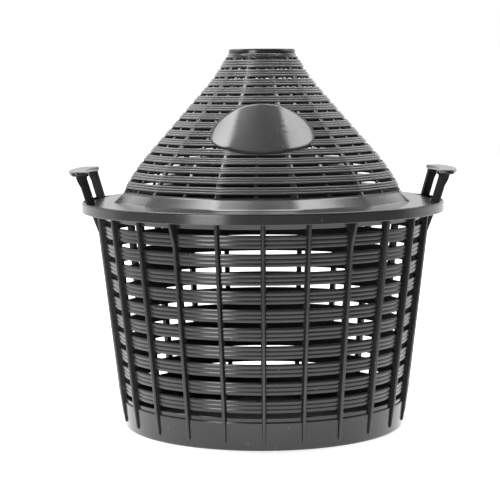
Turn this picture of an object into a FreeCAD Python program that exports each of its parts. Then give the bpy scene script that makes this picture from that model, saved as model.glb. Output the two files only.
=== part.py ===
import FreeCAD, Part
import math
import os

# Demijohn basket: a slatted tub with two handles, and the conical cover that rests on its rim.
# Millimetres, +Z up. The origin is the middle of the foot, on the surface it stands on.
# An outline is a list of (radius, height) points.

# Overall sizes
foot_diameter = 305.0
rim_diameter = 385.0
total_height = 400.0
sector_count = 24
rim_side_count = 60
rim_overhang = 9.65
weld = 1.0

# Ribs of the tub
rib_behind_slats = 0.4
rib_in_band = 2.6
rib_width = 5.8
rib_crest_width = 2.8
rib_tip_height = 7.5
rib_tip_length = 10.0
rib_tip_width = 1.2
gusset_spacing = 4
gusset_height = 30.0
gusset_flare = 0.26

# Slats, foot band, floor and rim of the tub
slat_count = 10
slat_height = 12.6
first_slat_height = 39.0
slat_recess = 4.4
slat_groove = 1.4
slat_thickness = 3.4
band_height = 34.0
band_recess = 3.0
band_step_height = 29.5
band_thickness = 3.5
floor_thickness = 3.0
foot_edge = 2.0
rim_band_height = 14.4
rim_flange_thickness = 2.5

# Handles of the tub
handle_rise = 33.5
handle_angle = 31.0
grip_width = 18.5
grip_thickness = 5.5
grip_corner = 6.0
grip_edge = 1.6
grip_inner_lip = 1.0
leg_depth = 9.0
leg_thickness = 6.0
leg_lean = 17.0
leg_clearance = 0.7
web_height = 14.0
web_thickness = 2.6

# Flange and foot of the cover
cover_thickness = 2.5
skirt_thickness = 2.0
skirt_height = 11.0
flange_edge = 1.0
rim_clearance = 1.0
cover_foot_radius = 147.5
cover_foot_height = 10.0
handle_slot_margin = 9.0
handle_slot_clearance = 1.0

# Neck and wall of the cover
neck_radius = 35.2
neck_wall = 2.7
neck_height = 8.0
neck_lip = 1.0
neck_root_radius = 37.5
neck_root_angle = 26.0
cone_angle = 41.4
neck_curve_radius = 140.0
foot_curve_radius = 155.0
foot_root_angle = 25.2

# Reed rings of the cover
ring_rows = 16
open_rows = 10
first_row_offset = 2.9
last_row_offset = 3.6
row_gap = 3.0
reed_crown = 0.9
bridge_count = 12
bridge_width = 7.0
bridge_phase = 12.4

# Oval plate at the front of the cover
plate_drop = 82.0
plate_half_width = 53.0
plate_half_length = 33.0
plate_proud = 1.4
plate_root = 1.6
plate_sweep = 120.0

# Worked out from the sizes above
foot_radius = foot_diameter / 2
rim_radius = rim_diameter / 2
sector = 360.0 / sector_count
skirt_inner_radius = rim_radius - skirt_thickness
rim_flange_radius = skirt_inner_radius - rim_clearance


def at(radius, degrees, height):
    """The point at a radius, an azimuth from the front (-Y) towards +X, and a height."""
    angle = math.radians(degrees)
    return FreeCAD.Vector(radius * math.sin(angle), -radius * math.cos(angle), height)


def crest_radius(height):
    """Radius over the ribs of the tub: the foot's at the bottom, and inside the rim flange at the top."""
    flare = (rim_flange_radius - rim_overhang - foot_radius) / rim_top()
    return foot_radius + flare * height


def flat_faces(corners):
    """One face through the corners, or two triangles where four corners aren't in one plane."""
    kept = [corner for i, corner in enumerate(corners) if corner.distanceToPoint(corners[i - 1]) > 1e-6]
    if len(kept) < 3:
        return []
    if len(kept) == 4:
        normal = (kept[1] - kept[0]).cross(kept[2] - kept[0]).normalize()
        if abs((kept[3] - kept[0]).dot(normal)) > 1e-6:
            return flat_faces(kept[:3]) + flat_faces([kept[2], kept[3], kept[0]])
    return [Part.Face(Part.makePolygon(kept + kept[:1]))]


def closed_solid(faces):
    """The solid inside faces that share their edges."""
    shell = Part.Shell(faces)
    shell.sewShape()
    solid = Part.Solid(shell)
    if solid.Volume < 0:
        solid.reverse()
    return solid


def faceted_ring(outline, phase=0.0, count=sector_count):
    """A closed outline taken round the axis in flat sectors, with its corners at the phase."""
    faces = []
    step = 360.0 / count
    for i, (radius, height) in enumerate(outline):
        next_radius, next_height = outline[(i + 1) % len(outline)]
        for k in range(count):
            start = phase + k * step
            end = start + step
            faces += flat_faces([
                at(radius, start, height),
                at(next_radius, start, next_height),
                at(next_radius, end, next_height),
                at(radius, end, height),
            ])
    return closed_solid(faces)


def chord_point(radius, height, degrees):
    """The point of a faceted ring at an azimuth, where its corners start at the front."""
    from_middle = math.radians(degrees % sector - sector / 2)
    return at(radius * math.cos(math.radians(sector / 2)) / math.cos(from_middle), degrees, height)


def faceted_arc(outline, azimuths):
    """A closed outline taken along a faceted ring, through a few azimuths."""
    sections = [[chord_point(radius, height, degrees) for radius, height in outline] for degrees in azimuths]
    return skinned(sections)


def round_ring(outline, start=0.0, angle=360.0):
    """A closed outline turned about the axis as a true round, over an angle from an azimuth."""
    corners = [at(radius, start, height) for radius, height in outline]
    face = Part.Face(Part.makePolygon(corners + corners[:1]))
    return face.revolve(FreeCAD.Vector(0, 0, 0), FreeCAD.Vector(0, 0, 1), angle)


def skinned(sections):
    """A solid through four-cornered sections, closed by its first and last section."""
    faces = flat_faces(sections[0]) + flat_faces(sections[-1])
    for lower, upper in zip(sections, sections[1:]):
        for i in range(4):
            j = (i + 1) % 4
            faces += flat_faces([lower[i], lower[j], upper[j], upper[i]])
    return closed_solid(faces)


def turned_copy(shape, degrees):
    """A copy of a shape, turned about the axis."""
    copy = shape.copy()
    copy.rotate(FreeCAD.Vector(0, 0, 0), FreeCAD.Vector(0, 0, 1), degrees)
    return copy


# Tub


def slat(height):
    """One slat of the wall, with the groove that divides it into two reeds."""
    top = height + slat_height
    middle = height + slat_height / 2
    return faceted_ring([
        (crest_radius(height) - slat_recess - slat_thickness, height),
        (crest_radius(height) - slat_recess, height),
        (crest_radius(middle) - slat_recess - slat_groove, middle),
        (crest_radius(top) - slat_recess, top),
        (crest_radius(top) - slat_recess - slat_thickness, top),
    ])


def foot():
    """The plain band round the foot, stepped back at its top, with the floor in one piece."""
    inner_foot = crest_radius(floor_thickness) - band_recess - band_thickness
    inner_top = crest_radius(band_height) - band_recess - band_thickness
    return faceted_ring([
        (0.0, 0.0),
        (foot_radius - band_recess - foot_edge, 0.0),
        (crest_radius(foot_edge) - band_recess, foot_edge),
        (crest_radius(band_step_height) - band_recess, band_step_height),
        (crest_radius(band_step_height) - slat_recess, band_step_height),
        (crest_radius(band_height) - slat_recess, band_height),
        (inner_top, band_height),
        (inner_foot, floor_thickness),
        (0.0, floor_thickness),
    ])


def rim_top():
    """Height of the tub's rim, on which the cover's flange rests."""
    return total_height - neck_height - cone_height() - cover_foot_height - cover_thickness


def slat_pitch():
    """Height from one slat to the next, with the slats spread evenly up to the rim's band."""
    return (rim_top() - rim_band_height - first_slat_height) / slat_count


def rim():
    """The top band of the wall with the flange that carries the cover."""
    top = rim_top()
    bottom = top - rim_band_height
    wall = crest_radius(top) - slat_recess
    return faceted_ring([
        (crest_radius(bottom) - slat_recess - slat_thickness, bottom),
        (crest_radius(bottom) - slat_recess, bottom),
        (crest_radius(top - rim_flange_thickness) - slat_recess, top - rim_flange_thickness),
        (rim_flange_radius, top - rim_flange_thickness),
        (rim_flange_radius, top),
        (wall - slat_thickness, top),
    ])


def rib_section(height, crest, back, width, crest_width):
    """The four corners of a rib's section, in the front sector."""
    return [
        FreeCAD.Vector(-width / 2, -back, height),
        FreeCAD.Vector(-crest_width / 2, -crest, height),
        FreeCAD.Vector(crest_width / 2, -crest, height),
        FreeCAD.Vector(width / 2, -back, height),
    ]


def rib_back(height):
    """Radius of a rib's back where it runs through the slats."""
    return crest_radius(height) - slat_recess - slat_thickness - rib_behind_slats


def rib_band_back(height):
    """Radius of a rib's back inside the foot band."""
    return crest_radius(height) - band_recess - rib_in_band


def rib(is_gusset):
    """An upright rib with a pointed foot. A gusset flares out under the rim flange."""
    full = rib_tip_height + rib_tip_length
    top = rim_top() - rim_flange_thickness
    flare_start = top - gusset_height
    crest_top = crest_radius(top) + (gusset_flare * gusset_height if is_gusset else 0.0)
    tip_crest = crest_radius(rib_tip_height) - band_recess
    levels = [
        (full, crest_radius(full), rib_band_back(full)),
        (band_height, crest_radius(band_height), rib_band_back(band_height)),
        (first_slat_height, crest_radius(first_slat_height), rib_back(first_slat_height)),
        (flare_start, crest_radius(flare_start), rib_back(flare_start)),
        (top, crest_top, rib_back(top)),
    ]
    tip = rib_section(rib_tip_height, tip_crest, tip_crest - rib_tip_width, rib_tip_width, rib_tip_width / 2)
    return skinned([tip] + [
        rib_section(height, crest, back, rib_width, rib_crest_width) for height, crest, back in levels
    ])


def ribs():
    """All upright ribs, of which every few are gussets."""
    plain = rib(False)
    gusset = rib(True)
    shapes = []
    for k in range(sector_count):
        is_gusset = k % gusset_spacing == gusset_spacing // 2
        shapes.append(turned_copy(gusset if is_gusset else plain, k * sector))
    return shapes


def leg_inner_radius(height):
    """Inner radius of a handle leg, which leans outwards above the rim."""
    root = rim_flange_radius - leg_clearance - leg_depth
    return root + (height - rim_top()) * math.tan(math.radians(leg_lean))


def leg():
    """A handle leg at the front, with the thin web that carries the grip's overhang."""
    bottom = rim_top() - rim_flange_thickness
    top = rim_top() + handle_rise - grip_thickness
    sections = []
    for height in (bottom, top):
        inner = leg_inner_radius(height)
        sections.append(rib_section(height, inner + leg_depth, inner, leg_thickness, leg_thickness))
    low = top - web_height
    low_outer = leg_inner_radius(low) + leg_depth
    overhang = grip_inner_radius() + grip_width - grip_edge * 2
    web_corners = [
        (low_outer - weld, low),
        (low_outer, low),
        (overhang, top),
        (leg_inner_radius(top) + leg_depth - weld, top),
    ]
    outline = [FreeCAD.Vector(-web_thickness / 2, -radius, height) for radius, height in web_corners]
    web = Part.Face(Part.makePolygon(outline + outline[:1])).extrude(FreeCAD.Vector(web_thickness, 0, 0))
    return skinned(sections).fuse(web)


def grip_inner_radius():
    """Inner radius of the grip, which stands a little inside the legs under it."""
    return leg_inner_radius(rim_top() + handle_rise - grip_thickness) - grip_inner_lip


def grip():
    """The grip plate, curved with the rim, with bevelled corners and edges."""
    top = rim_top() + handle_rise
    inner = grip_inner_radius()
    outer = inner + grip_width
    bottom = top - grip_thickness
    plate = round_ring([(inner, bottom), (outer, bottom), (outer, top), (inner, top)],
                       -handle_angle / 2, handle_angle)
    corners = [edge for edge in plate.Edges if abs(edge.BoundBox.ZLength - grip_thickness) < 1e-3]
    outer_corners = [edge for edge in corners if edge.CenterOfMass.x ** 2 + edge.CenterOfMass.y ** 2
                     > (inner + grip_width / 2) ** 2]
    plate = plate.makeChamfer(grip_corner, outer_corners)
    rims = [edge for edge in plate.Edges if edge.BoundBox.ZLength < 1e-3]
    return plate.makeChamfer(grip_edge, rims)


def handle():
    """One handle at the front: two leaning legs under a grip plate."""
    leg_angle = handle_angle / 2 - math.degrees(leg_thickness / rim_radius)
    parts = [turned_copy(leg(), -leg_angle), turned_copy(leg(), leg_angle)]
    return grip().fuse(parts)


def basket():
    """The tub: floor, foot band, slats, ribs, rim and handles moulded in one piece."""
    slats = [slat(first_slat_height + k * slat_pitch()) for k in range(slat_count)]
    handles = [turned_copy(handle(), 90.0), turned_copy(handle(), -90.0)]
    return foot().fuse(slats + [rim()] + ribs() + handles).removeSplitter()


# Cover


def neck_curve_length():
    """Length of the hollow curve between the neck and the straight cone."""
    return neck_curve_radius * math.radians(cone_angle - neck_root_angle)


def foot_curve_length():
    """Length of the full curve between the straight cone and the cover's foot."""
    return foot_curve_radius * math.radians(cone_angle - foot_root_angle)


def cone_straight_length():
    """Length of the straight cone, which takes what the two curves leave of the radius."""
    steep = math.cos(math.radians(cone_angle))
    neck_part = neck_curve_radius * (math.cos(math.radians(neck_root_angle)) - steep)
    foot_part = foot_curve_radius * (math.cos(math.radians(foot_root_angle)) - steep)
    straight = cover_foot_radius - neck_root_radius - neck_part - foot_part
    return straight / math.sin(math.radians(cone_angle))


def cone_height():
    """Height of the reed wall, from the cover's foot to the neck."""
    rise = math.sin(math.radians(cone_angle))
    neck_part = neck_curve_radius * (rise - math.sin(math.radians(neck_root_angle)))
    foot_part = foot_curve_radius * (rise - math.sin(math.radians(foot_root_angle)))
    return neck_part + foot_part + cone_straight_length() * math.cos(math.radians(cone_angle))


def wall_length():
    """Length of the reed wall along its slope."""
    return neck_curve_length() + cone_straight_length() + foot_curve_length()


def wall_point(distance, depth=0.0):
    """The point of the reed wall at a distance down its slope, and a depth under its surface."""
    radius = neck_root_radius
    height = total_height - neck_height
    start = math.radians(neck_root_angle)
    cone = math.radians(cone_angle)
    along = min(distance, neck_curve_length())
    slope = start + along / neck_curve_radius
    radius += neck_curve_radius * (math.cos(start) - math.cos(slope))
    height -= neck_curve_radius * (math.sin(slope) - math.sin(start))
    if distance > neck_curve_length():
        along = min(distance - neck_curve_length(), cone_straight_length())
        radius += along * math.sin(cone)
        height -= along * math.cos(cone)
    if distance > neck_curve_length() + cone_straight_length():
        along = distance - neck_curve_length() - cone_straight_length()
        slope = cone - along / foot_curve_radius
        radius += foot_curve_radius * (math.cos(slope) - math.cos(cone))
        height -= foot_curve_radius * (math.sin(cone) - math.sin(slope))
    return radius - depth * math.cos(slope), height - depth * math.sin(slope)


def row_distance(row):
    """Distance down the slope of the middle of a row of slots, counted from the neck."""
    pitch = (wall_length() - first_row_offset - last_row_offset) / (ring_rows - 1)
    return first_row_offset + row * pitch


def crown_distance(row):
    """Distance down the slope of the crown of the reed under a row."""
    return (row_distance(row) + row_distance(row + 1)) / 2


def outer_points():
    """The reeds' outer outline: a crown for each reed, a valley or an open row's flat strip between."""
    points = [wall_point(0.0)]
    for row in range(ring_rows):
        if row < ring_rows - open_rows:
            points.append(wall_point(row_distance(row)))
        else:
            points.append(wall_point(row_distance(row) - row_gap / 2))
            points.append(wall_point(row_distance(row) + row_gap / 2))
        if row < ring_rows - 1:
            points.append(wall_point(crown_distance(row), -reed_crown))
    points.append(wall_point(wall_length()))
    return points


def inner_distances():
    """Distances of the corners of the inner face: both edges of each open row, fewer above them."""
    closed_rows = ring_rows - open_rows
    distances = [row_distance(row) for row in range(0, closed_rows, 2)]
    distances[0] = 0.0
    for row in range(closed_rows, ring_rows):
        distances.append(row_distance(row) - row_gap / 2)
        distances.append(row_distance(row) + row_gap / 2)
    distances.append(wall_length())
    return distances


def reed_wall():
    """The wall of reeds with no slot cut yet."""
    inner = [wall_point(distance, cover_thickness) for distance in inner_distances()]
    return faceted_ring(outer_points() + inner[::-1], bridge_phase)


def slot_cutter(row):
    """A cutter for one slot of a row, between a bridge at azimuth 0 and the next one."""
    middle = row_distance(row)
    outline = [
        wall_point(middle - row_gap / 2, -reed_crown),
        wall_point(middle + row_gap / 2, -reed_crown),
        wall_point(middle + row_gap / 2, cover_thickness + reed_crown),
        wall_point(middle - row_gap / 2, cover_thickness + reed_crown),
    ]
    bridge_angle = math.degrees(bridge_width / wall_point(middle)[0])
    angle = 360.0 / bridge_count
    corners = [k * sector for k in range(1, sector_count // bridge_count)]
    return faceted_arc(outline, [bridge_angle / 2] + corners + [angle - bridge_angle / 2])


def slot_cutters():
    """Cutters for all open slots. The rows nearest the neck stay closed."""
    cutters = []
    for row in range(ring_rows - open_rows, ring_rows):
        single = slot_cutter(row)
        cutters += [turned_copy(single, bridge_phase + k * 360.0 / bridge_count) for k in range(bridge_count)]
    return cutters


def neck():
    """The plain collar round the bottle's neck, with a bevelled lip."""
    inner = neck_radius - neck_wall
    root = total_height - neck_height
    low_radius, low_height = wall_point(row_distance(0) - row_gap / 2, cover_thickness)
    return round_ring([
        (inner, root),
        (inner, total_height),
        (neck_radius - neck_lip, total_height),
        (neck_radius, total_height - neck_lip),
        (neck_radius, root),
        (neck_root_radius, root),
        (low_radius, low_height),
    ])


def cover_foot():
    """The plain flared foot under the reeds."""
    foot_top = total_height - neck_height - cone_height()
    bottom = foot_top - cover_foot_height
    wide = cover_foot_radius + cover_foot_height
    return faceted_ring([
        (cover_foot_radius, foot_top),
        (wide, bottom),
        (wide, bottom - cover_thickness),
        (wide - cover_thickness, bottom - cover_thickness),
        wall_point(wall_length(), cover_thickness),
    ], bridge_phase)


def flange():
    """The flat flange and its turned-down skirt."""
    top = rim_top() + cover_thickness
    inner = (cover_foot_radius + cover_foot_height - cover_thickness / 2) * math.cos(math.radians(sector / 2))
    return faceted_ring([
        (inner, top),
        (rim_radius - flange_edge, top),
        (rim_radius, top - flange_edge),
        (rim_radius, top - skirt_height),
        (skirt_inner_radius, top - skirt_height),
        (skirt_inner_radius, top - cover_thickness),
        (inner, top - cover_thickness),
    ], 0.0, rim_side_count)


def handle_slots():
    """The curved slots in the flange through which the handles pass."""
    top = rim_top() + cover_thickness
    inner = leg_inner_radius(rim_top()) - handle_slot_clearance
    angle = handle_angle + handle_slot_margin
    outline = [
        (inner, top - cover_thickness - weld),
        (skirt_inner_radius, top - cover_thickness - weld),
        (skirt_inner_radius, top + weld),
        (inner, top + weld),
    ]
    return [round_ring(outline, side - angle / 2, angle) for side in (-90.0, 90.0)]


def plate_distance():
    """Distance down the slope of the middle of the oval plate, which lies on the straight cone."""
    cone = math.radians(cone_angle)
    neck_part = neck_curve_radius * (math.sin(cone) - math.sin(math.radians(neck_root_angle)))
    straight_part = plate_drop - neck_height - neck_part
    return neck_curve_length() + straight_part / math.cos(cone)


def plate_prism():
    """An oval prism square to the front of the cone, which gives the plate its outline."""
    radius, height = wall_point(plate_distance())
    slope = math.radians(cone_angle)
    outward = FreeCAD.Vector(0, -math.cos(slope), math.sin(slope))
    oval = Part.Ellipse(FreeCAD.Vector(0, 0, 0), plate_half_width, plate_half_length).toShape()
    face = Part.Face(Part.Wire([oval]))
    face.rotate(FreeCAD.Vector(0, 0, 0), FreeCAD.Vector(1, 0, 0), 90.0 - math.degrees(slope))
    face.translate(FreeCAD.Vector(0, -radius, height) - outward * (plate_half_width / 2))
    return face.extrude(outward * plate_half_width)


def plate():
    """The oval plate: a layer over the reeds, rooted in the wall under them."""
    reach = plate_half_length + plate_half_width / 4
    top = plate_distance() - reach
    bottom = plate_distance() + reach
    layer = round_ring([
        wall_point(top, -reed_crown - plate_proud),
        wall_point(bottom, -reed_crown - plate_proud),
        wall_point(bottom, plate_root),
        wall_point(top, plate_root),
    ], -plate_sweep / 2, plate_sweep)
    return layer.common(plate_prism())


def cover():
    """The cover: neck, reeds, bridges, plate, foot and flange moulded in one piece."""
    slots = Part.Compound(slot_cutters()).cut(plate_prism())
    wall = reed_wall().cut(slots)
    shape = flange().fuse([neck(), wall, cover_foot(), plate()])
    return shape.cut(Part.Compound(handle_slots())).removeSplitter()


os.makedirs("parts", exist_ok=True)
for name, make in (("basket", basket), ("cover", cover)):
    solid = make()
    print(name, "solids", len(solid.Solids), "valid", solid.isValid(), "volume", round(solid.Volume))
    solid.exportStep("parts/" + name + ".step")
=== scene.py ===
import math

import bmesh
import bpy
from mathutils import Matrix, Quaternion, Vector


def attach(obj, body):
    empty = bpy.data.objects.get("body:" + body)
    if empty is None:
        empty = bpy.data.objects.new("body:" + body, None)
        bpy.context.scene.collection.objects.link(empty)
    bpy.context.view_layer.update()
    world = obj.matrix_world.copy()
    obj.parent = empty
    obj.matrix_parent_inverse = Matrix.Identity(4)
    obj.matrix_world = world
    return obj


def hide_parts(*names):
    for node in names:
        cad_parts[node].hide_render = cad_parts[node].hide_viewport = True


# Demijohn basket: a slatted tub with two handles under a ringed conical cover, both of black plastic.
# Sizes are millimetres, as in the solids, and become metres when a mesh is made.
# An outline is a closed list of (radius, height) points. Azimuth 0 is the front (-Y), and 90 is +X.
# A softened corner is a list of steps of (radius, height) away from the sharp corner.

METRE = 0.001
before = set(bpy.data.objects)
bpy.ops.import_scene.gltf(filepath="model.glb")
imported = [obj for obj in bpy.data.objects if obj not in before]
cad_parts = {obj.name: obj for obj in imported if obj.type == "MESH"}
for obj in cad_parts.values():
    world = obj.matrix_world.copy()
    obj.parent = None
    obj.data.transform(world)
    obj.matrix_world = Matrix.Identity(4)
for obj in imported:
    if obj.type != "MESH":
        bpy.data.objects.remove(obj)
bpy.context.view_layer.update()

# Overall sizes
total_height = 400.0
foot_radius = 152.5
wall_flare = 0.115
rim_radius = 192.5
rim_top = 237.82
rim_flange_radius = 189.5
edge_round = 0.5
weld = 1.0

# Slats of the tub
slat_count = 10
slat_height = 12.6
slat_pitch = 18.442
first_slat_height = 39.0
slat_recess = 4.4
slat_thickness = 3.4
slat_round = 0.6
reeds_per_slat = 3
reed_groove = 0.48
reed_samples = 7

# Floor and foot band of the tub. The low corner of the band is (depth under its face, height), and the
# corner at its step is (depth under its face, height over the step).
band_height = 34.0
band_step_height = 29.5
band_step_rise = 0.1
band_recess = 3.0
band_thickness = 3.5
band_low_corner = [(1.92, 0.0), (0.84, 0.4), (0.1, 1.2), (0.0, 2.2), (0.0, 3.7)]
band_step_corner = [(0.0, -1.8), (0.0, -0.5), (0.3, 0.0)]
floor_thickness = 3.0
floor_round = 2.0

# Rim of the tub
rim_band_height = 14.4
rim_flange_thickness = 2.5
rim_fillet = 1.0
rim_gap = 0.02

# Ribs of the tub. A share is one of the rib's full width, or of the band's recess. The crest's drop is a
# share of the rib's depth, and its profile is a list of (share of its half width, share of the drop).
rib_count = 24
rib_width = 5.6
rib_crest_width = 2.6
rib_crest_drop = 0.16
rib_crest_profile = [(0.45, 0.0), (0.85, 0.3)]
rib_shoulder = 0.25
rib_behind_slats = 0.4
rib_in_band = 2.6
rib_tip_height = 7.5
rib_tip_width_share = 0.16
rib_tip_proud_share = 0.10
rib_round_height = 3.0
rib_round_share = 0.72
rib_round_levels = 7
rib_taper_heights = [16.0, 22.0, 29.0, 36.0]
rib_taper_power = 0.8
rib_steps = 10
gusset_spacing = 4
gusset_height = 30.0
gusset_flare = 0.26

# Legs and webs of the handles
handle_rise = 36.0
leg_angle = 16.6
leg_depth = 9.0
leg_thickness = 6.0
leg_lean = 17.0
leg_reach = 0.7
leg_round = 0.7
leg_steps = 10
swell_height = 4.0
swell_side = 0.8
swell_inner = 0.6
swell_outer = 1.6
web_height = 13.0
web_thickness = 2.6
web_tip = 1.0
web_setback = 1.5
web_curve = 1.1
web_round = 0.4

# Grips of the handles
handle_angle = 35.6
grip_outer_radius = 205.86
grip_width = 18.5
grip_thickness = 4.8
grip_corner = 7.5
grip_inner_share = 0.55
grip_edge = 1.9
grip_least_edge = 0.05
grip_least_flat = 0.02
grip_steps = 44

# Flange, skirt and foot of the cover
cover_thickness = 2.5
skirt_thickness = 2.0
skirt_height = 11.0
skirt_inner_round = 0.3
skirt_low_corner = [(0.0, 1.4), (0.0, 0.5), (-0.5, 0.0)]
flange_corner = [(-1.2, 0.0), (-0.45, -0.35), (0.0, -1.2), (0.0, -2.2)]
flange_root = 3.0
handle_slot_angle = 40.0
handle_slot_inner = 178.8
cover_foot_radius = 147.5
cover_foot_height = 10.0
cover_foot_top_corner = [(-0.3, 0.8), (0.3, -0.1), (0.9, -0.7)]
cover_foot_low_corner = [(-1.4, 1.6), (-0.8, 1.0), (0.4, 0.05)]

# Collar of the cover. Its lip and the hollow under it are steps from the collar's outer radius and the top.
neck_height = 8.0
neck_radius = 35.2
neck_wall = 2.7
neck_inner_round = 0.7
neck_lip = [(-1.6, 0.0), (-0.5, -0.5), (0.0, -1.6), (0.0, -4.2)]
neck_hollow = [(-0.5, -4.7), (0.7, -5.3), (1.2, -6.2), (0.9, -7.1), (1.4, -7.8)]
neck_root_step = (0.6, -0.4)

# Slope of the cover's reed wall: a hollow curve, a straight cone and a full curve
neck_root_radius = 37.5
neck_root_angle = math.radians(26.0)
cone_angle = math.radians(41.4)
foot_root_angle = math.radians(25.2)
neck_curve_radius = 140.0
foot_curve_radius = 155.0

# Rows of slots and bands of ridges
ring_rows = 16
first_row_offset = 2.9
last_row_offset = 3.6
row_gap = 3.4
top_row_gap = 2.2
top_gap_rows = 8
ridges_per_band = 3
ridge_height = 1.5
ridge_groove = 0.4
ridge_samples = 8
band_round = 0.4

# Creases of the cover: flattened sectors, bridges over the slots and columns over the wide bridges.
# A strip's section is a list of (share of half its width, depth under the wall's surface).
sector_count = 12
sector_flatness = 0.5
sector_fade = 40.0
bridge_count = 24
bridge_phase = 12.4
bridge_root = 0.8
bridge_section = [(-1.0, 1.1), (-0.7, 0.6), (0.7, 0.6), (1.0, 1.1), (1.0, 2.3), (-1.0, 2.3)]
wide_bridge = 7.0
thin_bridge = 4.0
column_width = 5.0
column_inset = 1.0
column_step = 4.0
column_section = [(-1.0, 0.0), (-0.7, -0.3), (0.7, -0.3), (1.0, 0.0), (1.0, 1.2), (-1.0, 1.2)]

# Oval plate. Its edge is a list of (share of the oval, drop under the plate's face).
plate_height = 318.0
plate_half_width = 53.0
plate_half_length = 33.0
plate_proud = 2.3
plate_root = 1.6
plate_edge = [(0.975, 0.0), (0.992, 0.25), (1.0, 0.8)]
plate_rings = 12
plate_steps = 96
plate_settling = 12

# Fineness and finish of the meshes
RING_STEPS = 168
NECK_STEPS = 96
FLANGE_STEPS = 180
BOX_CORNER_STEPS = 3
GRIP_CORNER_STEPS = 4
MERGE_DISTANCE = 0.002
SHARP_ANGLE = math.radians(38.0)

# Places of the materials in a moulding. The second is a darker, rougher copy of the plastic that paints
# shade on inner faces, grooves, rib flanks and the handles' legs; the third is a lighter copy that paints
# light on the cover's reeds; the fourth paints the shadow line round the plate's side.
SMOOTH, PAINTED_SHADE, REEDS_PAINTED_LIGHT, PAINTED_SHADOW_LINE = 0, 1, 2, 3

# Plastic, in metres. A noise has a scale in waves per metre, and its colours cover a span of the noise.
cloud_scale = 14.0
cloud_detail = 5.0
tone_span = (0.3, 0.75)
tone_blue = 1.03
speck_scale = 170.0
speck_detail = 2.0
dust_span = (0.70, 0.77)
dust_cover = 0.5
dust_color = (0.16, 0.16, 0.155, 1)
grain_scale = 900.0
grain_detail = 3.0
grain_strength = 0.10
grain_depth = 0.0002
wave_scale = 45.0
wave_detail = 2.0
wave_strength = 0.05
wave_depth = 0.0012
# The near-black of the plate's side is a painted shadow line.
painted_shadow_tone = 0.006
painted_shadow_roughness = 0.8

# Floor, in metres. A fade is (start, end, strength at the start, strength at the end).
floor_half = 6.0
floor_tone = 0.60
seen_fade = (0.2, 1.4, 0.7, 1.0)
behind_fade = (0.2, 0.8, 0.0, 1.0)
around_fade = (0.28, 0.60, 1.5, 0.0)

# World light: its span over the directions from the front (0) to the back (1), and its tones at both ends
world_span = (0.46, 0.70)
world_tones = (0.07, 1.0)

# Lamps: name, place, width and height in metres, and power in watts
lamp_target = (0.0, 0.0, 0.22)
softboxes = [
    ("softbox_left", (-0.84, 0.0, 2.1), 0.50, 1.5, 29.5),
    ("softbox_right", (0.68, 0.0, 2.1), 0.36, 1.5, 19.5),
    ("softbox_back", (0.0, 1.9, 1.75), 3.4, 1.2, 20.0),
    ("softbox_side_left", (-1.9, 0.2, 1.3), 1.4, 0.9, 8.5),
    ("softbox_side_right", (1.9, 0.2, 1.3), 1.4, 0.9, 7.5),
    ("softbox_front_left", (-1.22, -1.85, 0.62), 0.85, 1.2, 28.0),
]

# Camera: place in metres, sensor and lens in millimetres
camera_place = (0.0, -1.7304, 0.3666)
camera_sensor = 36.0
camera_lens = 116.68
camera_pitch = math.radians(-5.96)
camera_yaw = math.radians(0.464)
camera_roll = math.radians(-0.39)


def at(radius, degrees, height):
    """The point at a radius, an azimuth and a height."""
    angle = math.radians(degrees)
    return (radius * math.sin(angle), -radius * math.cos(angle), height)


def beside(side, radius, degrees, height):
    """The point at a radius along an azimuth, a step to its side, at a height."""
    angle = math.radians(degrees)
    x = side * math.cos(angle) + radius * math.sin(angle)
    y = side * math.sin(angle) - radius * math.cos(angle)
    return (x, y, height)


def stepped(radius, height, steps):
    """The points of a softened corner."""
    return [(radius + out, height + up) for out, up in steps]


def quarter_turn(quarter, steps):
    """The cosines and sines over one quarter of a circle."""
    turns = [math.radians(90.0 * (quarter + i / steps)) for i in range(steps + 1)]
    return [(math.cos(turn), math.sin(turn)) for turn in turns]


def crest(height):
    """Radius over the ribs of the tub."""
    return foot_radius + wall_flare * height


def under_crest(height, depth):
    """The outline point at a height, a depth under the ribs' crest line."""
    return crest(height) - depth, height


def sectored(radius, degrees):
    """A radius of the cover's wall at an azimuth: each sector between two creases is flatter than round."""
    width = 360.0 / sector_count
    half = math.radians(width / 2)
    corner = math.cos(half)
    mean = corner * math.log(math.tan(math.pi / 4 + half / 2)) / half
    turn = math.radians((degrees - bridge_phase) % width) - half
    flat = corner / math.cos(turn) / mean
    fade = min(1.0, max(0.0, (radius - neck_root_radius) / sector_fade))
    return radius * (1 + sector_flatness * fade * (flat - 1))


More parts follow.
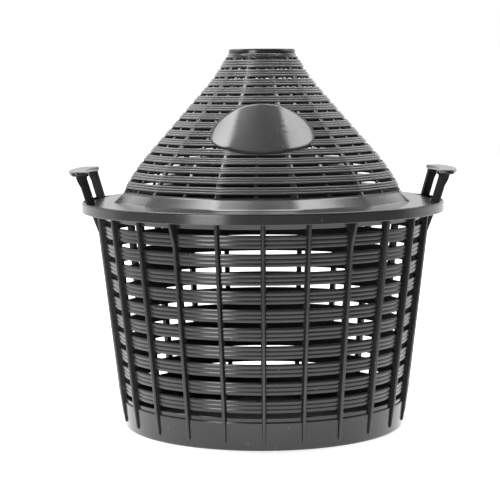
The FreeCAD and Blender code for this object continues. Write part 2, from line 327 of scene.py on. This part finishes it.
class Moulding:
    """Points and faces of one moulding, in millimetres. Each face has a material."""

    def __init__(self):
        self.points = []
        self.faces = []
        self.materials = []

    def add(self, points, faces, material=SMOOTH):
        """Points and faces that count from the first of these points."""
        start = len(self.points)
        self.points += points
        self.faces += [[start + i for i in face] for face in faces]
        self.materials += [material] * len(faces)

    def painted_shade_edges(self, start, size, count, edges):
        """Give painted shade, a darker and duller copy of the plastic, to the same edges of each of several
        rounds of faces.
        """
        for k in range(count):
            for i in edges:
                self.materials[start + k * size + i] = PAINTED_SHADE

    def ring(self, outline, steps=RING_STEPS, is_sectored=False, shaded=(), material=SMOOTH):
        """A closed outline turned once round the axis. The listed edges get the darker, duller material,
        which paints shade.
        """
        size = len(outline)
        points = []
        for k in range(steps):
            degrees = bridge_phase + 360.0 * k / steps
            for radius, height in outline:
                points.append(at(sectored(radius, degrees) if is_sectored else radius, degrees, height))
        faces = []
        for k in range(steps):
            here = k * size
            there = (k + 1) % steps * size
            for i in range(size):
                j = (i + 1) % size
                faces.append([here + i, here + j, there + j, there + i])
        start = len(self.materials)
        self.add(points, faces, material)
        self.painted_shade_edges(start, size, steps, shaded)

    def loft(self, sections, material=SMOOTH, shaded=()):
        """Closed sections of equal size joined in order, after the two faces that close the ends.

        The listed edges get the darker, duller material, which paints shade.
        """
        size = len(sections[0])
        points = [point for section in sections for point in section]
        ends = [list(range(size)), list(range(len(points) - size, len(points)))]
        sides = []
        for k in range(len(sections) - 1):
            here = k * size
            there = here + size
            for i in range(size):
                j = (i + 1) % size
                sides.append([here + i, here + j, there + j, there + i])
        start = len(self.materials) + len(ends)
        self.add(points, ends + sides, material)
        self.painted_shade_edges(start, size, len(sections) - 1, shaded)

    def piece(self, name, materials):
        """The finished mesh object, with its normals outwards and its hard edges kept."""
        mesh = bpy.data.meshes.new(name)
        mesh.from_pydata([[c * METRE for c in point] for point in self.points], [], self.faces)
        for material in materials:
            mesh.materials.append(material)
        mesh.polygons.foreach_set("material_index", self.materials)
        work = bmesh.new()
        work.from_mesh(mesh)
        bmesh.ops.remove_doubles(work, verts=work.verts, dist=MERGE_DISTANCE * METRE)
        bmesh.ops.recalc_face_normals(work, faces=work.faces)
        work.to_mesh(mesh)
        work.free()
        mesh.shade_smooth()
        mesh.set_sharp_from_angle(angle=SHARP_ANGLE)
        obj = bpy.data.objects.new(name, mesh)
        bpy.context.scene.collection.objects.link(obj)
        return obj


def inner_edges(outer, inner):
    """The edges of an outline that touch its inner points, which follow the outer ones."""
    return range(len(outer) - 1, len(outer) + len(inner))


# Tub


def reed_profile(low, high):
    """The outline points over one rounded reed of a slat, between two heights."""
    points = []
    for i in range(reed_samples):
        t = math.sin(math.pi / 2 * (2 * i / (reed_samples - 1) - 1))
        height = (low + high) / 2 + t * (high - low) / 2
        points.append(under_crest(height, slat_recess + reed_groove * t * t))
    return points


def slat(moulding, bottom):
    """A slat: rounded reeds outside, plain inside with softened corners."""
    top = bottom + slat_height
    width = slat_height / reeds_per_slat
    back = crest(bottom) - slat_recess - slat_thickness
    outer = []
    for k in range(reeds_per_slat):
        low = bottom + width * k
        outer += reed_profile(low, low + width)
    inner = [
        (back + slat_round, top),
        (back, top - slat_round),
        (back, bottom + slat_round),
        (back + slat_round, bottom),
    ]
    # Painted shade: the slat's inner faces take the darker plastic.
    moulding.ring(outer + inner, shaded=inner_edges(outer, inner))


def foot(moulding):
    """The floor and the foot band, stepped back under its top edge."""
    inner_foot = crest(floor_thickness) - band_recess - band_thickness
    inner_top = crest(band_height) - band_recess - band_thickness
    outer = [(0.0, 0.0)]
    outer += [under_crest(height, band_recess + depth) for depth, height in band_low_corner]
    outer += [under_crest(band_step_height + up, band_recess + depth) for depth, up in band_step_corner]
    outer += [
        (crest(band_step_height) - slat_recess, band_step_height + band_step_rise),
        (crest(band_height) - slat_recess, band_height - edge_round),
        (crest(band_height) - slat_recess - edge_round, band_height),
    ]
    inner = [
        (inner_top, band_height),
        (inner_foot, floor_thickness + floor_round),
        (inner_foot - floor_round, floor_thickness),
        (0.0, floor_thickness),
    ]
    # Painted shade: the inner faces of the foot take the darker plastic.
    moulding.ring(outer + inner, shaded=inner_edges(outer, inner))


def rim(moulding):
    """The top band of the wall and the flange that carries the cover."""
    bottom = rim_top - rim_band_height
    under = rim_top - rim_flange_thickness
    top = rim_top - rim_gap
    outline = [
        (crest(bottom) - slat_recess - slat_thickness, bottom),
        (crest(bottom) - slat_recess - edge_round, bottom),
        (crest(bottom) - slat_recess, bottom + edge_round),
        (crest(under) - slat_recess, under - rim_fillet),
        (crest(under) - slat_recess + rim_fillet, under),
        (rim_flange_radius - edge_round, under),
        (rim_flange_radius, under + edge_round),
        (rim_flange_radius, top),
        (crest(rim_top) - slat_recess - slat_thickness, top),
    ]
    # Painted shade: the band's underside and inside and both faces of the flange take the darker plastic.
    band_under, flange_under, flange_top, band_inside = 0, 4, 7, 8
    moulding.ring(outline, shaded=(band_under, flange_under, flange_top, band_inside))


def rib_section(height, top, back, share, degrees):
    """A rib's section at a share of its full width: a flat back, sloping flanks and a rounded crest."""
    drop = (top - back) * rib_crest_drop
    half = rib_width * share / 2
    crown = rib_crest_width * share / 2
    right = [(crown * side, top - drop * fall) for side, fall in rib_crest_profile]
    right += [(crown + (half - crown) * rib_shoulder, top - drop), (half, back)]
    left = [(-side, radius) for side, radius in reversed(right)]
    return [beside(side, radius, degrees, height) for side, radius in left + right]


def rib_band_back(height):
    """Radius of a rib's back inside the foot band."""
    return crest(height) - band_recess - rib_in_band


def rib_slat_back(height):
    """Radius of a rib's back where it runs behind the slats."""
    return crest(height) - slat_recess - slat_thickness - rib_behind_slats


def rib(moulding, degrees, is_gusset):
    """An upright rib with a bullet foot. A gusset flares out under the rim flange."""
    sections = []
    for i in range(rib_round_levels):
        turn = math.pi / 2 * i / (rib_round_levels - 1)
        height = rib_tip_height + rib_round_height * (1 - math.cos(turn))
        share = rib_tip_width_share + (rib_round_share - rib_tip_width_share) * math.sin(turn)
        proud_share = rib_tip_proud_share + (rib_round_share - rib_tip_proud_share) * math.sin(turn)
        proud = crest(height) - band_recess + band_recess * proud_share
        sections.append(rib_section(height, proud, rib_band_back(height), share, degrees))
    taper_start = rib_tip_height + rib_round_height
    taper_end = rib_taper_heights[-1]
    for height in rib_taper_heights:
        climb = (height - taper_start) / (taper_end - taper_start)
        share = rib_round_share + (1 - rib_round_share) * climb ** rib_taper_power
        proud = crest(height) - band_recess * (1 - rib_round_share) * (1 - climb)
        sections.append(rib_section(height, proud, rib_band_back(height), share, degrees))
    flare_start = rim_top - rim_flange_thickness - gusset_height
    for i in range(1, rib_steps + 1):
        height = taper_end + (flare_start - taper_end) * i / rib_steps
        sections.append(rib_section(height, crest(height), rib_slat_back(height), 1.0, degrees))
    for i in range(1, rib_steps + 1):
        rise = gusset_height * i / rib_steps
        height = flare_start + rise
        flare = gusset_flare * rise if is_gusset else 0.0
        sections.append(rib_section(height, crest(height) + flare, rib_slat_back(height), 1.0, degrees))
    size = len(sections[0])
    # Painted shade: the rib's flanks and back take the darker plastic.
    left_flank, right_flank, back = 0, size - 2, size - 1
    moulding.loft(sections, shaded=(left_flank, right_flank, back))


def rounded_box(half_side, inner, outer, round_off, height, degrees):
    """A rectangle with rounded corners at a height, across an azimuth and between two radii."""
    section = []
    middle = (inner + outer) / 2
    side = half_side - round_off
    depth = (outer - inner) / 2 - round_off
    centres = [(side, depth), (-side, depth), (-side, -depth), (side, -depth)]
    for quarter, (centre_side, centre_depth) in enumerate(centres):
        for cosine, sine in quarter_turn(quarter, BOX_CORNER_STEPS):
            across = centre_side + round_off * cosine
            along = middle + centre_depth + round_off * sine
            section.append(beside(across, along, degrees, height))
    return section


def leg_inner(height):
    """Inner radius of a handle leg, which leans outwards."""
    root = rim_flange_radius + leg_reach - leg_depth
    return root + (height - rim_top) * math.tan(math.radians(leg_lean))


def leg(moulding, degrees):
    """A leaning leg that swells into the grip, and the thin web under the grip's overhang."""
    bottom = rim_top - rim_flange_thickness
    top = rim_top + handle_rise - grip_thickness + weld
    sections = []
    for i in range(leg_steps + 1):
        height = bottom + (top - bottom) * i / leg_steps
        swell = max(0.0, 1 - (top - height) / swell_height) ** 2
        half = leg_thickness / 2 + swell_side * swell
        inner = leg_inner(height) - swell_inner * swell
        outer = leg_inner(height) + leg_depth + swell_outer * swell
        sections.append(rounded_box(half, inner, outer, leg_round, height, degrees))
    # Painted shade: the whole leg takes the darker plastic.
    moulding.loft(sections, PAINTED_SHADE)
    sections = []
    reach = grip_outer_radius - 2 * grip_edge - web_setback
    for i in range(leg_steps + 1):
        height = top - web_height + web_height * i / leg_steps
        start = leg_inner(height) + leg_depth - weld
        end = start + web_tip + (reach - start) * (i / leg_steps) ** web_curve
        sections.append(rounded_box(web_thickness / 2, start, end, web_round, height, degrees))
    # Painted shade: the whole web takes the darker plastic.
    moulding.loft(sections, PAINTED_SHADE)


def rounded_cut(radius, left):
    """How far a rounded corner of a radius cuts in where a length is left to its end."""
    return radius - math.sqrt(max(0.0, radius ** 2 - max(0.0, radius - left) ** 2))


def grip(moulding, degrees):
    """The grip plate, curved with the rim, with rounded corners and edges."""
    top = rim_top + handle_rise
    bottom = top - grip_thickness
    outer = grip_outer_radius
    inner = outer - grip_width
    middle = inner + grip_width / 2
    half_length = math.radians(handle_angle) * middle / 2
    sections = []
    for i in range(grip_steps + 1):
        along = half_length * math.sin(math.pi / 2 * (2 * i / grip_steps - 1))
        left = half_length - abs(along)
        cut = rounded_cut(grip_corner, left)
        thin = rounded_cut(grip_edge, left)
        near = inner + cut * grip_inner_share
        far = outer - cut
        low = bottom + thin
        high = top - thin
        room = min(high - low, far - near) / 2 - grip_least_flat
        edge = max(grip_least_edge, min(grip_edge, room))
        azimuth = degrees + math.degrees(along / middle)
        centres = [
            (far - edge, high - edge),
            (near + edge, high - edge),
            (near + edge, low + edge),
            (far - edge, low + edge),
        ]
        section = []
        for quarter, (radius, height) in enumerate(centres):
            for cosine, sine in quarter_turn(quarter, GRIP_CORNER_STEPS):
                section.append(at(radius + edge * cosine, azimuth, height + edge * sine))
        sections.append(section)
    moulding.loft(sections)


def basket_moulding(materials):
    """The tub with its slats, ribs, rim and handles."""
    moulding = Moulding()
    foot(moulding)
    for k in range(slat_count):
        slat(moulding, first_slat_height + k * slat_pitch)
    rim(moulding)
    for k in range(rib_count):
        rib(moulding, 360.0 * k / rib_count, k % gusset_spacing == gusset_spacing // 2)
    for side in (-90.0, 90.0):
        grip(moulding, side)
        leg(moulding, side - leg_angle)
        leg(moulding, side + leg_angle)
    return moulding.piece("basket_moulding", materials)


# Cover


def neck_curve_length():
    """Length of the hollow curve under the neck."""
    return neck_curve_radius * (cone_angle - neck_root_angle)


def foot_curve_length():
    """Length of the full curve over the foot."""
    return foot_curve_radius * (cone_angle - foot_root_angle)


def straight_length():
    """Length of the straight cone between the two curves."""
    neck_part = neck_curve_radius * (math.cos(neck_root_angle) - math.cos(cone_angle))
    foot_part = foot_curve_radius * (math.cos(foot_root_angle) - math.cos(cone_angle))
    return (cover_foot_radius - neck_root_radius - neck_part - foot_part) / math.sin(cone_angle)


def wall_length():
    """Length of the reed wall along its slope."""
    return neck_curve_length() + straight_length() + foot_curve_length()


def wall_point(distance, depth=0.0):
    """The point of the reed wall at a distance down its slope, and a depth under its surface."""
    radius = neck_root_radius
    height = total_height - neck_height
    slope = neck_root_angle + min(distance, neck_curve_length()) / neck_curve_radius
    radius += neck_curve_radius * (math.cos(neck_root_angle) - math.cos(slope))
    height -= neck_curve_radius * (math.sin(slope) - math.sin(neck_root_angle))
    past = distance - neck_curve_length()
    if past > 0:
        along = min(past, straight_length())
        radius += along * math.sin(cone_angle)
        height -= along * math.cos(cone_angle)
    past -= straight_length()
    if past > 0:
        slope = cone_angle - past / foot_curve_radius
        radius += foot_curve_radius * (math.cos(slope) - math.cos(cone_angle))
        height -= foot_curve_radius * (math.sin(cone_angle) - math.sin(slope))
    return radius - depth * math.cos(slope), height - depth * math.sin(slope)


def row_distance(row):
    """Distance down the slope of the middle of a row of slots."""
    pitch = (wall_length() - first_row_offset - last_row_offset) / (ring_rows - 1)
    return first_row_offset + row * pitch


def slot_gap(row):
    """Height of a row of slots along the slope, which is less near the neck."""
    return top_row_gap + (row_gap - top_row_gap) * min(1.0, row / top_gap_rows)


def reed_band(moulding, row):
    """The band of fine ridges under a row of slots, with softened edges inside."""
    start = row_distance(row) + slot_gap(row) / 2
    end = row_distance(row + 1) - slot_gap(row + 1) / 2
    width = (end - start) / ridges_per_band
    outer = []
    grooves = []
    for k in range(ridges_per_band):
        grooves += [len(outer), len(outer) + ridge_samples - 2]
        for i in range(ridge_samples):
            turn = math.pi * i / (ridge_samples - 1)
            place = start + width * (k + (1 - math.cos(turn)) / 2)
            outer.append(wall_point(place, ridge_groove - ridge_height * math.sin(turn)))
    inner = [
        wall_point(end, cover_thickness - band_round),
        wall_point(end - band_round, cover_thickness),
        wall_point(start + band_round, cover_thickness),
        wall_point(start, cover_thickness - band_round),
    ]
    # Painted shade: the ridges' groove edges and the band's inner faces take the darker plastic.
    painted_shade_edges = grooves + list(inner_edges(outer, inner))
    # Painted light: the reeds take a lighter copy of the plastic.
    moulding.ring(outer + inner, is_sectored=True, shaded=painted_shade_edges, material=REEDS_PAINTED_LIGHT)


def strip(moulding, degrees, width, distances, corners):
    """A strip down the reed wall at an azimuth, with one section at each of several distances."""
    sections = []
    for distance in distances:
        half = math.degrees(width / 2 / wall_point(distance)[0])
        section = []
        for share, depth in corners:
            radius, height = wall_point(distance, depth)
            azimuth = degrees + half * share
            section.append(at(sectored(radius, azimuth), azimuth, height))
        sections.append(section)
    moulding.loft(sections)


def bridge(moulding, row, degrees, width):
    """A bridge across a row of slots, rooted in the bands over and under it."""
    middle = row_distance(row)
    reach = slot_gap(row) / 2 + bridge_root
    strip(moulding, degrees, width, (middle - reach, middle + reach), bridge_section)


def column(moulding, degrees):
    """A low upright strip that fills the grooves of the reeds where the wide bridges stand."""
    count = round(wall_length() / column_step)
    length = wall_length() - 2 * column_inset
    distances = [column_inset + length * i / count for i in range(count + 1)]
    strip(moulding, degrees, column_width, distances, column_section)


def neck_outline():
    """The plain collar round the bottle's neck, with a rounded lip and a hollow under it."""
    inner = neck_radius - neck_wall
    root = total_height - neck_height
    first = row_distance(0) - slot_gap(0) / 2
    outline = [
        (inner, root),
        (inner, total_height - neck_inner_round),
        (inner + neck_inner_round, total_height),
    ]
    outline += stepped(neck_radius, total_height, neck_lip + neck_hollow)
    outline += stepped(neck_root_radius, root, [neck_root_step])
    return outline + [wall_point(first), wall_point(first, cover_thickness)]


def cover_foot_outline():
    """The plain flared foot under the reeds."""
    last = row_distance(ring_rows - 1) + slot_gap(ring_rows - 1) / 2
    foot_top = wall_point(wall_length())[1]
    wide = cover_foot_radius + cover_foot_height
    bottom = foot_top - cover_foot_height
    outline = [wall_point(last)]
    outline += stepped(cover_foot_radius, foot_top, cover_foot_top_corner)
    outline += stepped(wide, bottom, cover_foot_low_corner)
    return outline + [
        (wide, bottom - cover_thickness),
        (wide - cover_thickness, bottom - cover_thickness),
        wall_point(wall_length(), cover_thickness),
        wall_point(last, cover_thickness),
    ]


def is_slot(step):
    """Whether a step round the flange lies in one of the two handle slots."""
    azimuth = (step + 0.5) * 360.0 / FLANGE_STEPS
    return min(abs(azimuth - 90.0), abs(azimuth - 270.0)) < handle_slot_angle / 2


def flange(moulding):
    """The flat flange and its skirt, with the curved slots through which the handles pass."""
    top = rim_top + cover_thickness
    under = rim_top
    skirt_inner = rim_radius - skirt_thickness
    inner = cover_foot_radius + cover_foot_height - flange_root
    bottom = top - skirt_height
    slot_corners = [
        (handle_slot_inner, top),
        (skirt_inner, top),
        (skirt_inner, under),
        (handle_slot_inner, under),
    ]
    corners = [(inner, top)] + slot_corners[:2]
    corners += stepped(rim_radius, top, flange_corner)
    corners += stepped(rim_radius, bottom, skirt_low_corner)
    corners += [(skirt_inner + skirt_inner_round, bottom), (skirt_inner, bottom + skirt_inner_round)]
    corners += slot_corners[2:] + [(inner, under)]
    inner_top, outer_top, outer_under, inner_under = [corners.index(corner) for corner in slot_corners]
    open_edges = [(inner_top, outer_top), (outer_under, inner_under)]
    wall_edges = [(inner_top, inner_under), (outer_under, outer_top)]
    size = len(corners)
    whole = [(i, (i + 1) % size) for i in range(size)]
    slotted = [edge for edge in whole if edge not in open_edges] + wall_edges
    points = []
    faces = []
    for k in range(FLANGE_STEPS):
        points += [at(radius, 360.0 * k / FLANGE_STEPS, height) for radius, height in corners]
        here = k * size
        there = (k + 1) % FLANGE_STEPS * size
        edges = slotted if is_slot(k) else whole
        faces += [[here + i, here + j, there + j, there + i] for i, j in edges]
        if is_slot(k) != is_slot((k - 1) % FLANGE_STEPS):
            faces.append([here + i for i in (inner_top, outer_top, outer_under, inner_under)])
    moulding.add(points, faces)


def plate_point(across, along, lift):
    """The point over the cone, at a lift, that the oval's own frame sees at (across, along)."""
    rise = math.sin(cone_angle)
    run = math.cos(cone_angle)
    neck_part = neck_curve_radius * (rise - math.sin(neck_root_angle))
    straight_part = total_height - neck_height - neck_part - plate_height
    centre_radius, centre_height = wall_point(neck_curve_length() + straight_part / run)
    outward = Vector((0, -run, rise))
    down = Vector((0, -rise, -run))
    point = Vector((across, -centre_radius, centre_height)) + down * along
    for _ in range(plate_settling):
        azimuth = math.degrees(math.atan2(point.x, -point.y))
        radius = math.hypot(point.x, point.y) * centre_radius / sectored(centre_radius, azimuth)
        over = (radius - centre_radius) * run + (point.z - centre_height) * rise
        point += outward * (lift - over)
    return tuple(point)


def plate(moulding):
    """The bare oval plate, smooth over the reeds, with a shadow line painted near-black round its side."""
    levels = [(k / plate_rings, plate_proud) for k in range(1, plate_rings)]
    levels += [(share, plate_proud - drop) for share, drop in plate_edge]
    levels.append((1.0, -plate_root))
    points = [plate_point(0.0, 0.0, plate_proud)]
    for share, lift in levels:
        for k in range(plate_steps):
            turn = 2 * math.pi * k / plate_steps
            across = share * plate_half_width * math.sin(turn)
            along = share * plate_half_length * math.cos(turn)
            points.append(plate_point(across, along, lift))
    points.append(plate_point(0.0, 0.0, -plate_root))
    around = [(k, (k + 1) % plate_steps) for k in range(plate_steps)]
    faces = [[0, 1 + k, 1 + j] for k, j in around]
    for level in range(len(levels) - 1):
        here = 1 + level * plate_steps
        there = here + plate_steps
        faces += [[here + k, here + j, there + j, there + k] for k, j in around]
    last = 1 + (len(levels) - 1) * plate_steps
    faces += [[len(points) - 1, last + j, last + k] for k, j in around]
    moulding.add(points, faces)
    # Painted shadow: the plate's side wall takes the near-black material.
    side = len(moulding.materials) - 2 * plate_steps
    moulding.materials[side:side + plate_steps] = [PAINTED_SHADOW_LINE] * plate_steps


def cover_moulding(materials):
    """The cover: neck, bands of reeds, bridges, columns, foot, flange and plate."""
    moulding = Moulding()
    moulding.ring(neck_outline(), NECK_STEPS)
    for row in range(ring_rows - 1):
        reed_band(moulding, row)
    azimuths = [bridge_phase + k * 360.0 / bridge_count for k in range(bridge_count)]
    for row in range(ring_rows):
        for k, azimuth in enumerate(azimuths):
            bridge(moulding, row, azimuth, wide_bridge if k % 2 == 0 else thin_bridge)
    for azimuth in azimuths[::2]:
        column(moulding, azimuth)
    moulding.ring(cover_foot_outline(), is_sectored=True)
    flange(moulding)
    plate(moulding)
    return moulding.piece("cover_moulding", materials)


# Materials


def grey(tone, blue=1.0):
    """A grey as a colour, with its blue a little more or less."""
    return (tone, tone, tone * blue, 1)


def noise(tree, place, scale, detail):
    """A noise over the object's own coordinates."""
    node = tree.nodes.new("ShaderNodeTexNoise")
    node.inputs["Scale"].default_value = scale
    node.inputs["Detail"].default_value = detail
    tree.links.new(place, node.inputs["Vector"])
    return node.outputs["Fac"]


def ramp(tree, source, span, low, high):
    """A colour that runs from low to high as a source goes over a span."""
    node = tree.nodes.new("ShaderNodeValToRGB")
    for element, position, color in zip(node.color_ramp.elements, span, (low, high)):
        element.position = position
        element.color = color
    tree.links.new(source, node.inputs["Fac"])
    return node.outputs["Color"]


def ranged(tree, source, from_low, from_high, low, high):
    """A number that runs from low to high as a source goes from one value to another."""
    node = tree.nodes.new("ShaderNodeMapRange")
    node.inputs["From Min"].default_value = from_low
    node.inputs["From Max"].default_value = from_high
    node.inputs["To Min"].default_value = low
    node.inputs["To Max"].default_value = high
    tree.links.new(source, node.inputs["Value"])
    return node.outputs["Result"]


def reckoned(tree, operation, first, second):
    """The sum or the product of two numbers."""
    node = tree.nodes.new("ShaderNodeMath")
    node.operation = operation
    tree.links.new(first, node.inputs[0])
    tree.links.new(second, node.inputs[1])
    return node.outputs["Value"]


def bumped(tree, height, strength, depth, normal=None):
    """The normal of a surface with a bump on it, over another bump's normal where one is given."""
    node = tree.nodes.new("ShaderNodeBump")
    node.inputs["Strength"].default_value = strength
    node.inputs["Distance"].default_value = depth
    tree.links.new(height, node.inputs["Height"])
    if normal is not None:
        tree.links.new(normal, node.inputs["Normal"])
    return node.outputs["Normal"]


def black_plastic(name, dark, light, smoothest, roughest, shine):
    """Satin black plastic, a little uneven in tone and gloss, with dust specks and fine moulding marks."""
    material = bpy.data.materials.new(name)
    material.use_nodes = True
    tree = material.node_tree
    shader = tree.nodes["Principled BSDF"]
    shader.inputs["Specular IOR Level"].default_value = shine
    place = tree.nodes.new("ShaderNodeTexCoord").outputs["Object"]
    cloud = noise(tree, place, cloud_scale, cloud_detail)
    tone = ramp(tree, cloud, tone_span, grey(dark, tone_blue), grey(light, tone_blue))
    speck = noise(tree, place, speck_scale, speck_detail)
    dust = ramp(tree, speck, dust_span, grey(0.0), grey(dust_cover))
    mixed = tree.nodes.new("ShaderNodeMix")
    mixed.data_type = "RGBA"
    factor, first_color, second_color, result = 0, 6, 7, 2
    mixed.inputs[second_color].default_value = dust_color
    tree.links.new(dust, mixed.inputs[factor])
    tree.links.new(tone, mixed.inputs[first_color])
    tree.links.new(mixed.outputs[result], shader.inputs["Base Color"])
    tree.links.new(ranged(tree, cloud, 0.0, 1.0, smoothest, roughest), shader.inputs["Roughness"])
    grain = noise(tree, place, grain_scale, grain_detail)
    wave = noise(tree, place, wave_scale, wave_detail)
    fine = bumped(tree, grain, grain_strength, grain_depth)
    broad = bumped(tree, wave, wave_strength, wave_depth, fine)
    tree.links.new(broad, shader.inputs["Normal"])
    return material


def painted_shadow_black():
    """Painted shadow: a near-black material for the plate's side, standing in for the deep shadow line
    round the plate.
    """
    material = bpy.data.materials.new("plate_painted_shadow")
    material.use_nodes = True
    shader = material.node_tree.nodes["Principled BSDF"]
    shader.inputs["Base Color"].default_value = grey(painted_shadow_tone)
    shader.inputs["Roughness"].default_value = painted_shadow_roughness
    return material


# Floor, light and camera


def faded(tree, source, fade, ray):
    """A strength that follows a fade over a source, for one kind of ray alone."""
    return reckoned(tree, "MULTIPLY", ray, ranged(tree, source, *fade))


def floor_material():
    """Pale paint with a glow that only the camera and reflections see.

    The camera's glow grows with distance behind the object. Reflections show a glow behind the object and
    another close round it.
    """
    material = bpy.data.materials.new("floor_white")
    material.use_nodes = True
    tree = material.node_tree
    tree.nodes.remove(tree.nodes["Principled BSDF"])
    paint = tree.nodes.new("ShaderNodeBsdfDiffuse")
    paint.inputs["Color"].default_value = grey(floor_tone)
    glow = tree.nodes.new("ShaderNodeEmission")
    both = tree.nodes.new("ShaderNodeAddShader")
    tree.links.new(paint.outputs["BSDF"], both.inputs[0])
    tree.links.new(glow.outputs["Emission"], both.inputs[1])
    tree.links.new(both.outputs["Shader"], tree.nodes["Material Output"].inputs["Surface"])
    path = tree.nodes.new("ShaderNodeLightPath")
    place = tree.nodes.new("ShaderNodeTexCoord").outputs["Object"]
    split = tree.nodes.new("ShaderNodeSeparateXYZ")
    tree.links.new(place, split.inputs["Vector"])
    reach = tree.nodes.new("ShaderNodeVectorMath")
    reach.operation = "LENGTH"
    tree.links.new(place, reach.inputs[0])
    back = split.outputs["Y"]
    seen = faded(tree, back, seen_fade, path.outputs["Is Camera Ray"])
    behind = faded(tree, back, behind_fade, path.outputs["Is Glossy Ray"])
    around = faded(tree, reach.outputs["Value"], around_fade, path.outputs["Is Glossy Ray"])
    mirrored = reckoned(tree, "ADD", behind, around)
    tree.links.new(reckoned(tree, "ADD", seen, mirrored), glow.inputs["Strength"])
    return material


def pale_floor():
    """A large pale floor that takes the object's shadow."""
    corners = [(x * floor_half, y * floor_half, 0) for x, y in ((-1, -1), (1, -1), (1, 1), (-1, 1))]
    mesh = bpy.data.meshes.new("floor")
    mesh.from_pydata(corners, [], [(0, 1, 2, 3)])
    mesh.materials.append(floor_material())
    floor = bpy.data.objects.new("floor", mesh)
    bpy.context.scene.collection.objects.link(floor)


def white_world():
    """White for the camera. All other rays find a grey light, which is dark in front and pale behind."""
    world = bpy.data.worlds.new("studio")
    bpy.context.scene.world = world
    world.use_nodes = True
    tree = world.node_tree
    seen = tree.nodes["Background"]
    seen.inputs["Color"].default_value = grey(1.0)
    seen.inputs["Strength"].default_value = 1.0
    light = tree.nodes.new("ShaderNodeBackground")
    light.inputs["Strength"].default_value = 1.0
    direction = tree.nodes.new("ShaderNodeTexCoord").outputs["Generated"]
    split = tree.nodes.new("ShaderNodeSeparateXYZ")
    tree.links.new(direction, split.inputs["Vector"])
    front_to_back = ranged(tree, split.outputs["Y"], -1.0, 1.0, 0.0, 1.0)
    front_tone, back_tone = world_tones
    depth = ramp(tree, front_to_back, world_span, grey(front_tone), grey(back_tone))
    tree.links.new(depth, light.inputs["Color"])
    path = tree.nodes.new("ShaderNodeLightPath")
    mix = tree.nodes.new("ShaderNodeMixShader")
    tree.links.new(path.outputs["Is Camera Ray"], mix.inputs[0])
    tree.links.new(light.outputs["Background"], mix.inputs[1])
    tree.links.new(seen.outputs["Background"], mix.inputs[2])
    tree.links.new(mix.outputs["Shader"], tree.nodes["World Output"].inputs["Surface"])


def softbox(name, place, width, height, power):
    """A soft rectangular lamp that points at the middle of the object."""
    lamp = bpy.data.lights.new(name, "AREA")
    lamp.shape = "RECTANGLE"
    lamp.size = width
    lamp.size_y = height
    lamp.energy = power
    obj = bpy.data.objects.new(name, lamp)
    obj.location = place
    obj.rotation_euler = (Vector(lamp_target) - Vector(place)).to_track_quat("-Z", "Y").to_euler()
    bpy.context.scene.collection.objects.link(obj)


def camera():
    """The camera at the photograph's angle, a little lower than the collar and looking slightly down."""
    data = bpy.data.cameras.new("camera")
    data.sensor_width = camera_sensor
    data.lens = camera_lens
    obj = bpy.data.objects.new("camera", data)
    obj.location = camera_place
    level = math.cos(camera_pitch)
    look = Vector((-math.sin(camera_yaw) * level, math.cos(camera_yaw) * level, math.sin(camera_pitch)))
    obj.rotation_mode = "QUATERNION"
    obj.rotation_quaternion = look.to_track_quat("-Z", "Y") @ Quaternion((0, 0, 1), camera_roll)
    bpy.context.scene.collection.objects.link(obj)
    bpy.context.scene.camera = obj


plastics = [
    black_plastic("black_plastic_satin", dark=0.018, light=0.03, smoothest=0.16, roughest=0.24, shine=0.5),
    # Painted shade: a darker, rougher copy of the plastic for inner faces, grooves, rib flanks and the
    # handles' legs and webs.
    black_plastic("black_plastic_painted_shade", dark=0.007, light=0.012, smoothest=0.5, roughest=0.62, shine=0.2),
    # Painted light: the reeds' plastic is about three times lighter than the rest, standing in for the
    # light they catch.
    black_plastic("black_plastic_reeds_painted_light", dark=0.056, light=0.085, smoothest=0.18, roughest=0.28, shine=0.9),
    painted_shadow_black(),
]
basket = basket_moulding(plastics)
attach(basket, "root")
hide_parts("basket")
cover = cover_moulding(plastics)
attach(cover, "root")
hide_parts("cover")

pale_floor()
white_world()
for softbox_values in softboxes:
    softbox(*softbox_values)
camera()
bpy.context.scene.view_settings.view_transform = "Standard"
